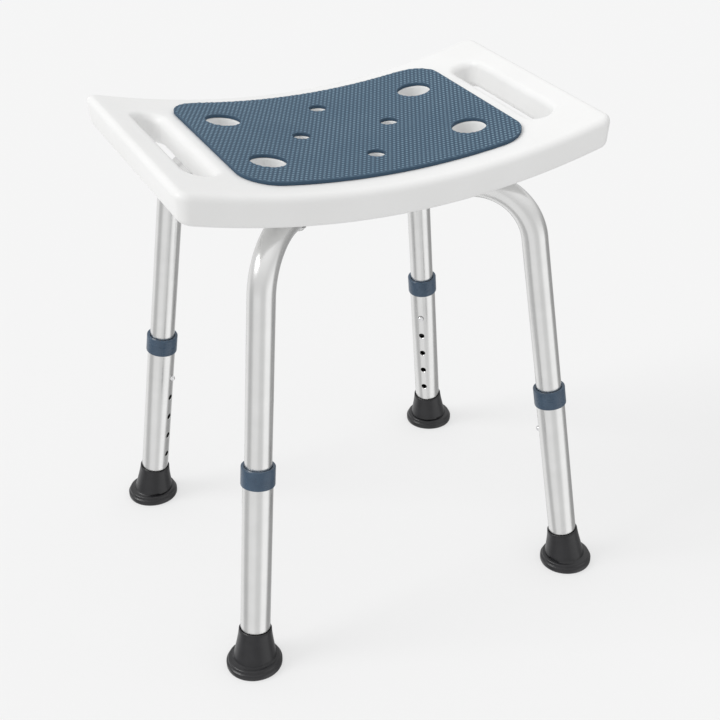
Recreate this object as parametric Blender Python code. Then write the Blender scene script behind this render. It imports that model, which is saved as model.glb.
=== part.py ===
"""Height-adjustable shower stool: a blow-moulded seat on two crossed U-shaped tubes, with four telescoping legs.

World frame: origin on the floor under the middle of the seat, +X along the seat's long side, +Z up, metres.
Every leg has a frame of its own: origin where its axis meets the floor, +Z up along the leg, +X square to
the leg and pointing at the stool's middle.
"""

import math

import bmesh
import bpy
from mathutils import Matrix, Vector

# Clearances
GAP = 0.0003  # between pieces that touch
HOLE_GAP = 0.0004  # round a shank in its hole

# Seat: its top is a shallow trough that rises towards the two ends
SEAT_HALF_LENGTH = 0.209
SEAT_HALF_WIDTH = 0.1360
SEAT_MIDDLE_TOP = 0.4567
SEAT_END_RISE = 0.0293
SEAT_MIDDLE_THICKNESS = 0.0291
SEAT_END_THICKNESS = 0.0290
SEAT_CORNER = 0.0125
SEAT_TOP_FILLET = 0.008
SEAT_BOTTOM_FILLET = 0.005
SEAT_DRAFT = 0.0015
SEAT_WALL = 0.0025
SEAT_STEPS = 15  # odd, so that no mesh line runs through the middle of a hole

# Hand grips and drains through the seat
GRIP_X = 0.1695
GRIP_HALF_LENGTH = 0.081
GRIP_HALF_WIDTH = 0.0125
GRIP_RIM = 0.006
LARGE_DRAIN = (0.1005, 0.0564)
LARGE_DRAIN_RADIUS = 0.0158
SMALL_DRAIN = (0.0448, 0.0653)
SMALL_DRAIN_RADIUS = 0.0078
VENT_PLACE = (0.0, 0.100)
VENT_RADIUS = 0.0025
UNDER_SEAT = 0.41  # cutters through the seat run from here
OVER_SEAT = 0.50  # to here

# Seat pad
PAD_HALF_LENGTH = 0.1390
PAD_HALF_WIDTH = 0.1100
PAD_CORNER = 0.032
PAD_THICKNESS = 0.0034
PAD_EDGE = 0.0006
PAD_HOLE_EXTRA = 0.0005
PAD_STEPS = 11

# Legs and frame tubes
LEG_ANGLE = math.radians(41.44)  # from the X axis to a foot, seen from above
LEG_TILT = math.radians(8.11)
FOOT_DISTANCE = 0.2370  # from the origin to the middle of a foot
INNER_RADIUS = 0.0127
OUTER_RADIUS = 0.0143
TUBE_WALL = 0.0012
FRAME_BEND = 0.056
FRAME_TOP = 0.420  # height of the top run's centre line
FRAME_END = 0.145  # where the frame tube ends inside the leg, along the leg
LEG_START = 0.0123
LEG_END = 0.2113
TUBE_SIDES = 16

# Both tubes are pressed flat where they cross, one above the other
FLAT_HALF_WIDTH = 0.0156
FLAT_HALF_HEIGHT = 0.00575
FLAT_END = 0.019  # distance from the middle to the end of the flat
ROUND_START = 0.056  # distance from the middle to where the tube is round again
SPACER_RADIUS = 0.011

# Height setting: five holes, one inch apart, with the button in the top one
HOLE_PITCH = 0.0254
HOLE_COUNT = 5
BUTTON_PLACE = 0.1628  # along the leg
HOLE_TURN = math.radians(8.0)
LEG_HOLE_RADIUS = 0.00325
FRAME_HOLE_RADIUS = 0.0033
BUTTON_RADIUS = 0.00292
BUTTON_FLANGE = 0.0039
BUTTON_BASE = 0.0096  # from the leg's axis
BUTTON_SHOULDER = 0.0104
BUTTON_DOME = 0.0160
BUTTON_TIP = 0.0178

# Spring clip behind the button
CLIP_WIDTH = 0.0062
CLIP_THICKNESS = 0.0005

# Collar at the top of a leg
COLLAR_RADIUS = 0.0160
COLLAR_START = 0.1944
COLLAR_END = 0.2133
COLLAR_LIP_RADIUS = 0.0130
COLLAR_CHAMFER = 0.0006

# Rubber tip
TIP_RADIUS = 0.0269
TIP_STEP_RADIUS = 0.0254
TIP_CONE_RADIUS = 0.0208
TIP_RIM_RADIUS = 0.0158
TIP_BORE_FLOOR = 0.0102
TIP_RIM = 0.0404
TIP_SIDES = 18
TIP_WASHER_RADIUS = 0.0136
TIP_WASHER_THICKNESS = 0.0015

# Screws that hold the frame to the seat
SCREW_PLACE = 0.107  # from the middle, along a frame
SCREW_RADIUS = 0.0029
SCREW_HEAD_RADIUS = 0.0050
SCREW_HEAD_HEIGHT = 0.0034
SCREW_SIDES = 10
WASHER_RADIUS = 0.0070
WASHER_THICKNESS = 0.0012
INSERT_RADIUS = 0.0045
INSERT_LENGTH = 0.0105
BOSS_RADIUS = 0.0080

RECESS_MARGIN = 0.0012  # round the upper tube's flat, under the seat
RECESS_CORNER = 0.005

CORNERS = {
    "front_left": (-1, -1),
    "front_right": (1, -1),
    "rear_left": (-1, 1),
    "rear_right": (1, 1),
}


def clear_scene():
    for obj in list(bpy.data.objects):
        bpy.data.objects.remove(obj)


def material(name, colour, roughness, metallic=0.0):
    made = bpy.data.materials.new(name)
    made.use_nodes = True
    shader = made.node_tree.nodes["Principled BSDF"]
    shader.inputs["Base Color"].default_value = (*colour, 1.0)
    shader.inputs["Roughness"].default_value = roughness
    shader.inputs["Metallic"].default_value = metallic
    return made


def add_object(name, mesh_builder, finish=None, place=None, parent=None):
    """A closed mesh as a named object. With no finish it is a cutter, which isn't part of the stool."""
    bmesh.ops.remove_doubles(mesh_builder, verts=mesh_builder.verts, dist=1e-7)
    bmesh.ops.triangulate(mesh_builder, faces=mesh_builder.faces)
    bmesh.ops.recalc_face_normals(mesh_builder, faces=mesh_builder.faces)
    mesh = bpy.data.meshes.new(name)
    mesh_builder.to_mesh(mesh)
    mesh_builder.free()
    mesh.shade_smooth()
    mesh.set_sharp_from_angle(angle=math.radians(35))
    obj = bpy.data.objects.new(name, mesh)
    bpy.context.scene.collection.objects.link(obj)
    if parent is not None:
        obj.parent = parent
    if place is not None:
        obj.matrix_local = place
    if finish is None:
        obj.hide_render = True
        obj.display_type = "WIRE"
    else:
        mesh.materials.append(finish)
    return obj


def cut(obj, cutter):
    modifier = obj.modifiers.new("cut " + cutter.name, "BOOLEAN")
    modifier.operation = "DIFFERENCE"
    modifier.solver = "EXACT"
    modifier.object = cutter


def ring(centre, radius, sides, across=Vector((1, 0, 0)), beside=Vector((0, 1, 0))):
    """Points round a circle, turned half a step so that a flat faces across."""
    points = []
    for k in range(sides):
        angle = 2 * math.pi * (k + 0.5) / sides
        points.append(centre + radius * (math.cos(angle) * across + math.sin(angle) * beside))
    return points


def skin(builder, rings, closed_loop=False):
    """Joins rings of equally many points. The ends get flat caps, or the last ring joins the first."""
    loops = [[builder.verts.new(point) for point in points] for points in rings]
    pairs = list(zip(loops, loops[1:]))
    if closed_loop:
        pairs.append((loops[-1], loops[0]))
    for low, high in pairs:
        for k in range(len(low)):
            after = (k + 1) % len(low)
            builder.faces.new((low[k], low[after], high[after], high[k]))
    if not closed_loop:
        builder.faces.new(loops[0])
        builder.faces.new(loops[-1])


def turned(profile, sides, hollow=False, base=None, builder=None):
    """A turned piece from (radius, height) pairs up the Z axis of base."""
    builder = builder or bmesh.new()
    rings = [ring(Vector((0, 0, height)), radius, sides) for radius, height in profile]
    if base is not None:
        rings = [[base @ point for point in points] for points in rings]
    skin(builder, rings, closed_loop=hollow)
    return builder


# ---------------------------------------------------------------- seat


def seat_top(x):
    return SEAT_MIDDLE_TOP + SEAT_END_RISE * (x / SEAT_HALF_LENGTH) ** 2


def seat_bottom(x):
    middle = SEAT_MIDDLE_TOP - SEAT_MIDDLE_THICKNESS
    end = SEAT_MIDDLE_TOP + SEAT_END_RISE - SEAT_END_THICKNESS
    return middle + (end - middle) * (x / SEAT_HALF_LENGTH) ** 2


def half_outline(half_length, half_width, corner, arc_steps, run_steps):
    """The +Y half of a rounded rectangle, from its -X end to its +X end."""
    middle_x = half_length - corner
    middle_y = half_width - corner
    left = []
    for k in range(arc_steps + 1):
        angle = math.pi / 2 * k / arc_steps
        left.append((-middle_x - corner * math.cos(angle), middle_y + corner * math.sin(angle)))
    run = [(-middle_x + 2 * middle_x * k / run_steps, half_width) for k in range(1, run_steps)]
    right = [(-x, y) for x, y in reversed(left)]
    return left + run + right


def slab(levels, half_length, half_width, corner, arc_steps, run_steps):
    """A curved board. Each level is (inset, height rule), and both faces are strips straight across Y."""
    builder = bmesh.new()
    loops = []
    for inset, height in levels:
        half = half_outline(
            half_length - inset, half_width - inset, corner - inset, arc_steps, run_steps
        )
        points = half + [(x, -y) for x, y in reversed(half)]
        loops.append([builder.verts.new((x, y, height(x))) for x, y in points])
    for low, high in zip(loops, loops[1:]):
        for k in range(len(low)):
            after = (k + 1) % len(low)
            builder.faces.new((low[k], low[after], high[after], high[k]))
    for loop in (loops[0], loops[-1]):
        last = len(loop) - 1
        for k in range(len(loop) // 2 - 1):
            builder.faces.new((loop[k], loop[k + 1], loop[last - k - 1], loop[last - k]))
    return builder


def fillet_levels(radius, steps):
    """(inset, depth) pairs round a quarter circle, from the flat face to the side."""
    pairs = []
    for k in range(steps + 1):
        angle = math.pi / 2 * k / steps
        pairs.append((radius * (1 - math.sin(angle)), radius * (1 - math.cos(angle))))
    return pairs


def seat_levels(offset, steps):
    """The seat's levels from the bottom face to the top face, moved in by offset."""
    levels = []
    for inset, rise in fillet_levels(SEAT_BOTTOM_FILLET - offset, steps):
        levels.append((inset + SEAT_DRAFT, lambda x, r=rise: seat_bottom(x) + offset + r))
    for inset, drop in reversed(fillet_levels(SEAT_TOP_FILLET - offset, steps + 1)):
        levels.append((inset, lambda x, d=drop: seat_top(x) - offset - d))
    return levels


def seat_body(name, offset, steps, finish=None):
    builder = slab(
        seat_levels(offset, steps),
        SEAT_HALF_LENGTH - offset,
        SEAT_HALF_WIDTH - offset,
        SEAT_CORNER - offset,
        3,
        SEAT_STEPS,
    )
    return add_object(name, builder, finish)


def grip_outline(side, grown):
    """A slot with round ends, long way along Y."""
    half_width = GRIP_HALF_WIDTH + grown
    middle_y = GRIP_HALF_LENGTH - GRIP_HALF_WIDTH
    points = []
    for end in (1, -1):
        for k in range(7):
            angle = math.pi * k / 6
            x = side * GRIP_X + end * half_width * math.cos(angle)
            points.append((x, end * (middle_y + half_width * math.sin(angle))))
    return points


def add_grips(builder, grown, flared):
    """Both hand slots. A flared one has a soft rim at the top face."""
    levels = [(grown, lambda x: UNDER_SEAT), (grown, lambda x: OVER_SEAT)]
    if flared:
        rim = [(0.0, 1.0), (0.13, 0.5), (0.5, 0.13), (1.2, -0.3)]
        levels = [levels[0]]
        for out, down in rim:
            levels.append(
                (grown + GRIP_RIM * out, lambda x, d=down: seat_top(x) - GRIP_RIM * d)
            )
        levels.append((grown + GRIP_RIM * 1.2, lambda x: OVER_SEAT))
    for side in (-1, 1):
        rings = []
        for grow, height in levels:
            rings.append([Vector((x, y, height(x))) for x, y in grip_outline(side, grow)])
        skin(builder, rings)


def drains():
    """Middle and radius of each drain hole."""
    places = [(sx * LARGE_DRAIN[0], sy * LARGE_DRAIN[1], LARGE_DRAIN_RADIUS) for sx, sy in CORNERS.values()]
    for sign in (-1, 1):
        places.append((sign * SMALL_DRAIN[0], 0.0, SMALL_DRAIN_RADIUS))
        places.append((0.0, sign * SMALL_DRAIN[1], SMALL_DRAIN_RADIUS))
    return places


def add_drains(builder, grown):
    for x, y, radius in drains():
        sides = 16 if radius > 0.01 else 12
        base = Matrix.Translation((x, y, 0.0))
        span = [(radius + grown, UNDER_SEAT), (radius + grown, OVER_SEAT)]
        turned(span, sides, base=base, builder=builder)


def screw_places():
    """The frame screws' places, and the centre bolt's."""
    places = {}
    for name, (sx, sy) in CORNERS.items():
        across = Vector((sx * math.cos(LEG_ANGLE), sy * math.sin(LEG_ANGLE), 0.0))
        places[name] = across * SCREW_PLACE
    places["centre"] = Vector((0.0, 0.0, 0.0))
    return places


def insert_span():
    """Lowest and highest point of a threaded insert, just above the groove that a frame tube lies in."""
    low = FRAME_TOP + INNER_RADIUS + 3 * GAP
    return low, low + INSERT_LENGTH


def groove(name, sign, grown):
    """A cutter round a frame's top run, from one bend to the other."""
    along = Vector((math.cos(LEG_ANGLE), sign * math.sin(LEG_ANGLE), 0.0))
    beside = Vector((-along.y, along.x, 0.0))
    radius = (INNER_RADIUS + GAP + grown) / math.cos(math.pi / TUBE_SIDES)
    half = FOOT_DISTANCE - FRAME_TOP * math.tan(LEG_TILT)
    rings = []
    for end in (-1, 1):
        centre = along * half * end + Vector((0, 0, FRAME_TOP))
        rings.append(ring(centre, radius, TUBE_SIDES, beside, Vector((0, 0, 1))))
    builder = bmesh.new()
    skin(builder, rings)
    return add_object(name, builder)


def recess(name, grown):
    """A cutter round the wider flat of the upper tube, where it lies up inside the seat."""
    half_width = FLAT_HALF_WIDTH + RECESS_MARGIN + grown
    half_length = ROUND_START + grown
    turn = Matrix.Rotation(LEG_ANGLE, 4, "Z")
    rings = []
    for height in (UNDER_SEAT, FRAME_TOP + INNER_RADIUS + 2 * GAP + grown):
        points = []
        for sx, sy in ((1, 1), (-1, 1), (-1, -1), (1, -1)):
            side = Vector((half_length * sx, (half_width - RECESS_CORNER) * sy, height))
            end = Vector(((half_length - RECESS_CORNER) * sx, half_width * sy, height))
            points += [turn @ side, turn @ end] if sx * sy > 0 else [turn @ end, turn @ side]
        rings.append(points)
    builder = bmesh.new()
    skin(builder, rings)
    return add_object(name, builder)


def make_seat(finish):
    openings = bmesh.new()
    add_grips(openings, 0.0, flared=True)
    add_drains(openings, 0.0)
    openings = add_object("seat_openings", openings)

    sleeves = bmesh.new()
    add_grips(sleeves, SEAT_WALL, flared=True)
    add_drains(sleeves, SEAT_WALL)
    sleeves = add_object("seat_opening_walls", sleeves)

    low, high = insert_span()
    bosses = bmesh.new()
    pockets = bmesh.new()
    for place in screw_places().values():
        base = Matrix.Translation(place)
        span = [(BOSS_RADIUS, UNDER_SEAT), (BOSS_RADIUS, OVER_SEAT)]
        turned(span, SCREW_SIDES, base=base, builder=bosses)
        pocket = INSERT_RADIUS + HOLE_GAP
        span = [(pocket, UNDER_SEAT), (pocket, high + GAP)]
        turned(span, SCREW_SIDES, base=base, builder=pockets)
    base = Matrix.Translation((*VENT_PLACE, 0.0))
    inside = SEAT_MIDDLE_TOP - SEAT_MIDDLE_THICKNESS / 2
    span = [(VENT_RADIUS, UNDER_SEAT), (VENT_RADIUS, inside)]
    turned(span, SCREW_SIDES, base=base, builder=pockets)
    bosses = add_object("seat_bosses", bosses)
    pockets = add_object("seat_pockets", pockets)

    hollow = seat_body("seat_hollow", SEAT_WALL, 1)
    cut(hollow, sleeves)
    cut(hollow, bosses)
    cut(hollow, groove("seat_groove_wall_a", 1, SEAT_WALL))
    cut(hollow, groove("seat_groove_wall_b", -1, SEAT_WALL))
    cut(hollow, recess("seat_recess_wall", SEAT_WALL))

    seat = seat_body("seat_shell", 0.0, 2, finish)
    cut(seat, openings)
    cut(seat, hollow)
    cut(seat, groove("seat_groove_a", 1, 0.0))
    cut(seat, groove("seat_groove_b", -1, 0.0))
    cut(seat, recess("seat_recess", 0.0))
    cut(seat, pockets)


def make_pad(finish):
    def above(rise):
        return lambda x: seat_top(x) + GAP + rise

    levels = [
        (0.0, above(0.0)),
        (0.0, above(PAD_THICKNESS - PAD_EDGE)),
        (PAD_EDGE, above(PAD_THICKNESS)),
    ]
    pad = add_object(
        "seat_pad",
        slab(levels, PAD_HALF_LENGTH, PAD_HALF_WIDTH, PAD_CORNER, 4, PAD_STEPS),
        finish,
    )
    holes = bmesh.new()
    add_drains(holes, PAD_HOLE_EXTRA)
    cut(pad, add_object("pad_holes", holes))


# ---------------------------------------------------------------- frame


def leg_frame(corner):
    """The leg's own frame: Z up along the leg, X square to it towards the middle."""
    sx, sy = CORNERS[corner]
    outward = Vector((sx * math.cos(LEG_ANGLE), sy * math.sin(LEG_ANGLE), 0.0))
    up = Vector((0, 0, 1))
    along = math.cos(LEG_TILT) * up - math.sin(LEG_TILT) * outward
    inward = -math.cos(LEG_TILT) * outward - math.sin(LEG_TILT) * up
    beside = along.cross(inward)
    frame = Matrix((inward, beside, along)).transposed().to_4x4()
    frame.translation = FOOT_DISTANCE * outward
    return frame


def hole_frame(corner, height):
    """In the leg's frame: Z points out through the hole at this height along the leg."""
    sx, sy = CORNERS[corner]
    turn = HOLE_TURN * sx * sy
    outward = Vector((math.cos(turn), math.sin(turn), 0.0))
    up = Vector((0, 0, 1))
    frame = Matrix((up, outward.cross(up), outward)).transposed().to_4x4()
    frame.translation = (0.0, 0.0, height)
    return frame


def flatness(distance):
    """0 where a frame tube is round, 1 where it is pressed flat."""
    part = (ROUND_START - abs(distance)) / (ROUND_START - FLAT_END)
    part = min(max(part, 0.0), 1.0)
    return part * part * (3 - 2 * part)


def section(centre, distance, wall, side, normal, beside):
    """A frame tube's section, wall inside its skin. side is +1 where its flat is at the top, -1 at the bottom."""
    flat = flatness(distance)
    half_width = INNER_RADIUS + (FLAT_HALF_WIDTH - INNER_RADIUS) * flat - wall
    half_height = INNER_RADIUS + (FLAT_HALF_HEIGHT - INNER_RADIUS) * flat - wall
    centre = centre + normal * side * (INNER_RADIUS - FLAT_HALF_HEIGHT) * flat
    power = 1 / (1 + flat)
    points = []
    for k in range(TUBE_SIDES):
        angle = 2 * math.pi * (k + 0.5) / TUBE_SIDES
        high = math.copysign(abs(math.cos(angle)) ** power, math.cos(angle))
        wide = math.copysign(abs(math.sin(angle)) ** power, math.sin(angle))
        points.append(centre + half_height * high * normal + half_width * wide * beside)
    return points


def half_path():
    """(distance from the middle, height, slope angle) from the tube's end up to the middle."""
    turn = math.pi / 2 - LEG_TILT
    corner = FOOT_DISTANCE - FRAME_TOP * math.tan(LEG_TILT)
    tangent = FRAME_BEND * math.tan(turn / 2)
    end = FRAME_END
    path = [(FOOT_DISTANCE - end * math.sin(LEG_TILT), end * math.cos(LEG_TILT), turn)]
    bend_steps = 7
    for k in range(bend_steps + 1):
        slope = turn * (1 - k / bend_steps)
        distance = corner - tangent + FRAME_BEND * math.sin(slope)
        path.append((distance, FRAME_TOP - FRAME_BEND * (1 - math.cos(slope)), slope))
    flatten_steps = 5
    for k in range(flatten_steps + 1):
        distance = ROUND_START + (FLAT_END - ROUND_START) * k / flatten_steps
        path.append((distance, FRAME_TOP, 0.0))
    return path


def frame_tube(name, corner, side, finish):
    """One U-shaped tube, from this corner's leg over to the opposite one."""
    sx, sy = CORNERS[corner]
    outward = Vector((sx * math.cos(LEG_ANGLE), sy * math.sin(LEG_ANGLE), 0.0))
    up = Vector((0, 0, 1))
    beside = up.cross(outward)
    half = half_path()
    path = half + [(-distance, height, -slope) for distance, height, slope in reversed(half)]
    outer = []
    inner = []
    for distance, height, slope in path:
        centre = outward * distance + up * height
        normal = math.cos(slope) * up + math.sin(slope) * outward
        outer.append(section(centre, distance, 0.0, side, normal, beside))
        inner.append(section(centre, distance, TUBE_WALL, side, normal, beside))
    builder = bmesh.new()
    skin(builder, outer + inner[::-1], closed_loop=True)
    tube = add_object(name, builder, finish)

    holes = bmesh.new()
    clear = 2 * INNER_RADIUS
    span = [(SCREW_RADIUS + HOLE_GAP, FRAME_TOP - clear), (SCREW_RADIUS + HOLE_GAP, FRAME_TOP + clear)]
    opposite = next(key for key, value in CORNERS.items() if value == (-sx, -sy))
    places = screw_places()
    for key in (corner, opposite, "centre"):
        turned(span, SCREW_SIDES, base=Matrix.Translation(places[key]), builder=holes)
    span = [(FRAME_HOLE_RADIUS, 0.008), (FRAME_HOLE_RADIUS, 0.016)]
    for key in (corner, opposite):
        turned(span, SCREW_SIDES, base=leg_frame(key) @ hole_frame(key, BUTTON_PLACE), builder=holes)
    cut(tube, add_object(name + "_holes", holes))


def make_spacer(finish):
    """The nylon disc between the two flats."""
    hole = SCREW_RADIUS + HOLE_GAP
    low = FRAME_TOP - INNER_RADIUS + 2 * FLAT_HALF_HEIGHT + GAP
    high = FRAME_TOP + INNER_RADIUS - 2 * FLAT_HALF_HEIGHT - GAP
    disc = [(SPACER_RADIUS, low), (SPACER_RADIUS, high), (hole, high), (hole, low)]
    add_object("crossing_spacer", turned(disc, TUBE_SIDES, hollow=True), finish)


def make_fastener(corner, place, tube_bottom, finishes):
    """A screw from below through washer and tube into a brass insert in the seat."""
    low, high = insert_span()
    base = Matrix.Translation(place)
    centre = corner == "centre"
    screw_name = "centre_bolt" if centre else "frame_screw_" + corner
    washer_top = tube_bottom - GAP
    washer_bottom = washer_top - WASHER_THICKNESS
    head_top = washer_bottom - GAP
    head_bottom = head_top - SCREW_HEAD_HEIGHT
    screw = [
        (SCREW_HEAD_RADIUS * 0.55, head_bottom),
        (SCREW_HEAD_RADIUS * 0.85, head_bottom + 0.0006),
        (SCREW_HEAD_RADIUS, head_bottom + 0.0018),
        (SCREW_HEAD_RADIUS, head_top),
        (SCREW_RADIUS, head_top),
        (SCREW_RADIUS, high - 0.0010),
        (SCREW_RADIUS * 0.7, high - 0.0003),
    ]
    add_object(screw_name, turned(screw, SCREW_SIDES), finishes["steel"], base)
    hole = SCREW_RADIUS + HOLE_GAP
    washer = [
        (WASHER_RADIUS, washer_bottom),
        (WASHER_RADIUS, washer_top),
        (hole, washer_top),
        (hole, washer_bottom),
    ]
    name = "centre_washer" if centre else "screw_washer_" + corner
    add_object(name, turned(washer, SCREW_SIDES, hollow=True), finishes["steel"], base)
    insert = [(INSERT_RADIUS, low), (INSERT_RADIUS, high), (hole, high), (hole, low)]
    name = "centre_insert" if centre else "screw_insert_" + corner
    add_object(name, turned(insert, SCREW_SIDES, hollow=True), finishes["brass"], base)


# ---------------------------------------------------------------- legs


def make_leg(corner, leg, finishes):
    tube = [
        (OUTER_RADIUS, LEG_START),
        (OUTER_RADIUS, LEG_END),
        (OUTER_RADIUS - TUBE_WALL, LEG_END),
        (OUTER_RADIUS - TUBE_WALL, LEG_START),
    ]
    leg_tube = add_object(
        "leg_tube_" + corner,
        turned(tube, TUBE_SIDES, hollow=True),
        finishes["aluminium"],
        parent=leg,
    )
    holes = bmesh.new()
    for k in range(HOLE_COUNT):
        base = hole_frame(corner, BUTTON_PLACE - k * HOLE_PITCH)
        span = [(LEG_HOLE_RADIUS, 0.010), (LEG_HOLE_RADIUS, 0.018)]
        turned(span, SCREW_SIDES, base=base, builder=holes)
    cut(leg_tube, add_object("leg_holes_" + corner, holes, parent=leg))

    sleeve = OUTER_RADIUS + GAP
    under_lip = LEG_END + GAP
    collar = [
        (sleeve, COLLAR_START),
        (COLLAR_RADIUS - COLLAR_CHAMFER, COLLAR_START),
        (COLLAR_RADIUS, COLLAR_START + COLLAR_CHAMFER),
        (COLLAR_RADIUS, COLLAR_END - COLLAR_CHAMFER),
        (COLLAR_RADIUS - COLLAR_CHAMFER, COLLAR_END),
        (COLLAR_LIP_RADIUS, COLLAR_END),
        (COLLAR_LIP_RADIUS, under_lip),
        (sleeve, under_lip),
    ]
    add_object(
        "collar_" + corner,
        turned(collar, TUBE_SIDES, hollow=True),
        finishes["collar"],
        parent=leg,
    )

    add_object("foot_tip_" + corner, foot_tip(), finishes["rubber"], parent=leg)
    disc_low = TIP_BORE_FLOOR + GAP
    edge = 0.0003
    disc = [
        (TIP_WASHER_RADIUS - edge, disc_low),
        (TIP_WASHER_RADIUS, disc_low + edge),
        (TIP_WASHER_RADIUS, disc_low + TIP_WASHER_THICKNESS - edge),
        (TIP_WASHER_RADIUS - edge, disc_low + TIP_WASHER_THICKNESS),
    ]
    add_object("tip_washer_" + corner, turned(disc, TUBE_SIDES), finishes["steel"], parent=leg)


def foot_tip():
    """A rubber ferrule: a level flange on the floor, and a cone that leans with the leg."""
    beside = Vector((0, 1, 0))
    level_up = Vector((-math.sin(LEG_TILT), 0.0, math.cos(LEG_TILT)))
    level_across = Vector((math.cos(LEG_TILT), 0.0, math.sin(LEG_TILT)))
    flange = [
        (TIP_RADIUS - 0.0010, 0.0),
        (TIP_RADIUS, 0.0012),
        (TIP_RADIUS, 0.0060),
        (TIP_STEP_RADIUS, 0.0068),
        (TIP_STEP_RADIUS, 0.0092),
        (TIP_STEP_RADIUS - 0.0010, 0.0100),
    ]
    rings = []
    for radius, height in flange:
        rings.append(ring(level_up * height, radius, TIP_SIDES, level_across, beside))
    base = 0.0108
    cone_steps = 4
    for k in range(cone_steps + 1):
        part = k / cone_steps
        lean = LEG_TILT * (1 - part)
        across = Vector((math.cos(lean), 0.0, math.sin(lean)))
        radius = TIP_RIM_RADIUS + (TIP_CONE_RADIUS - TIP_RIM_RADIUS) * (1 - part) ** 1.5
        centre = Vector((0.0, 0.0, base + (TIP_RIM - base) * part))
        rings.append(ring(centre, radius, TIP_SIDES, across, beside))
    bore = (OUTER_RADIUS + GAP) / math.cos(math.pi / TIP_SIDES)
    for height in (TIP_RIM, TIP_BORE_FLOOR):
        rings.append(ring(Vector((0.0, 0.0, height)), bore, TIP_SIDES))
    builder = bmesh.new()
    skin(builder, rings)
    return builder


def make_button(corner, press, finish):
    half = (BUTTON_DOME + BUTTON_TIP) / 2
    profile = [
        (BUTTON_FLANGE, BUTTON_BASE),
        (BUTTON_FLANGE, BUTTON_SHOULDER),
        (BUTTON_RADIUS, BUTTON_SHOULDER),
        (BUTTON_RADIUS, BUTTON_DOME),
        (BUTTON_RADIUS * 0.85, half),
        (BUTTON_RADIUS * 0.35, BUTTON_TIP),
    ]
    add_object("snap_button_" + corner, turned(profile, SCREW_SIDES), finish, parent=press)


def make_clip(corner, finish):
    """A leaf spring bent into a V inside the frame tube, which holds the button out."""
    spread = BUTTON_BASE - GAP - CLIP_THICKNESS / 2
    back = -0.0101
    route = [
        (spread, -0.006),
        (spread, 0.006),
        (spread * 0.72, 0.020),
        (spread * 0.32, 0.034),
        (0.0, 0.0385),
        (-spread * 0.34, 0.034),
        (back * 0.72, 0.020),
        (back, 0.006),
        (back, -0.004),
    ]
    rings = []
    for k, (across, along) in enumerate(route):
        before = Vector(route[max(k - 1, 0)])
        after = Vector(route[min(k + 1, len(route) - 1)])
        heading = (after - before).normalized()
        side = Vector((heading.y, -heading.x)) * (CLIP_THICKNESS / 2)
        corners = []
        for sign, half_width in ((1, 1), (1, -1), (-1, -1), (-1, 1)):
            corners.append(
                Vector((along + side.y * sign, half_width * CLIP_WIDTH / 2, across + side.x * sign))
            )
        rings.append(corners)
    builder = bmesh.new()
    skin(builder, rings)
    place = leg_frame(corner) @ hole_frame(corner, BUTTON_PLACE)
    add_object("spring_clip_" + corner, builder, finish, place)


def empty(name, place, parent=None):
    made = bpy.data.objects.new(name, None)
    made.empty_display_size = 0.02
    bpy.context.scene.collection.objects.link(made)
    if parent is not None:
        made.parent = parent
    made.matrix_local = place
    return made


def main():
    clear_scene()
    finishes = {
        "seat": material("white_hdpe", (0.80, 0.80, 0.79), 0.42),
        "pad": material("slate_eva", (0.072, 0.138, 0.235), 0.75),
        "aluminium": material("satin_aluminium", (0.72, 0.73, 0.74), 0.34, 1.0),
        "collar": material("slate_nylon", (0.037, 0.076, 0.133), 0.45),
        "rubber": material("black_rubber", (0.016, 0.016, 0.018), 0.55),
        "steel": material("stainless_steel", (0.62, 0.62, 0.62), 0.28, 1.0),
        "chrome": material("chromed_steel", (0.80, 0.80, 0.80), 0.10, 1.0),
        "brass": material("brass", (0.72, 0.53, 0.24), 0.35, 1.0),
        "spacer": material("grey_nylon", (0.30, 0.30, 0.30), 0.55),
    }
    make_seat(finishes["seat"])
    make_pad(finishes["pad"])
    frame_tube("frame_tube_a", "front_left", 1, finishes["aluminium"])
    frame_tube("frame_tube_b", "front_right", -1, finishes["aluminium"])
    make_spacer(finishes["spacer"])
    for corner, place in screw_places().items():
        make_fastener(corner, place, FRAME_TOP - INNER_RADIUS, finishes)
    for corner in CORNERS:
        leg = empty("leg_axis_" + corner, leg_frame(corner))
        make_leg(corner, leg, finishes)
        press = empty("button_axis_" + corner, leg_frame(corner) @ hole_frame(corner, BUTTON_PLACE))
        make_button(corner, press, finishes["chrome"])
        make_clip(corner, finishes["steel"])


main()
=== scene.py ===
"""Looks of the height-adjustable shower stool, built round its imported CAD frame.

Every measure is in metres, in the CAD's own frame: origin on the floor under the middle of the
seat, +X along the seat's long side, +Z up. Each leg has a frame of its own, with +Z up along the leg
and +X towards the middle.
"""

import math

import bmesh
import bpy
from mathutils import Matrix, Vector
from mathutils.geometry import delaunay_2d_cdt


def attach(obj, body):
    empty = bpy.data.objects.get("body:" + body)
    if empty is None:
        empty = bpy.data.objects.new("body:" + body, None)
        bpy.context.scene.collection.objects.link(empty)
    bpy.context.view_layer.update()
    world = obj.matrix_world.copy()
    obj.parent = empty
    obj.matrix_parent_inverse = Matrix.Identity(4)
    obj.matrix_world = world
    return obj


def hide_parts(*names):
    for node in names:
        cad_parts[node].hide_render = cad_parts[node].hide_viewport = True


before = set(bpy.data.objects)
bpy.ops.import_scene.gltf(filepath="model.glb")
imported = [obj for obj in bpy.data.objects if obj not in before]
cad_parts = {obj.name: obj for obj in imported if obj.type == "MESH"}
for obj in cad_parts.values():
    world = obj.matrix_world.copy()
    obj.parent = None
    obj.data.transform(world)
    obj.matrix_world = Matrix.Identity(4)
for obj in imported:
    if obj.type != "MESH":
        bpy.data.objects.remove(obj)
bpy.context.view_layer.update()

ROOT = "seat_and_frame"
GAP = 0.0003
HOLE_GAP = 0.0004

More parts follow.
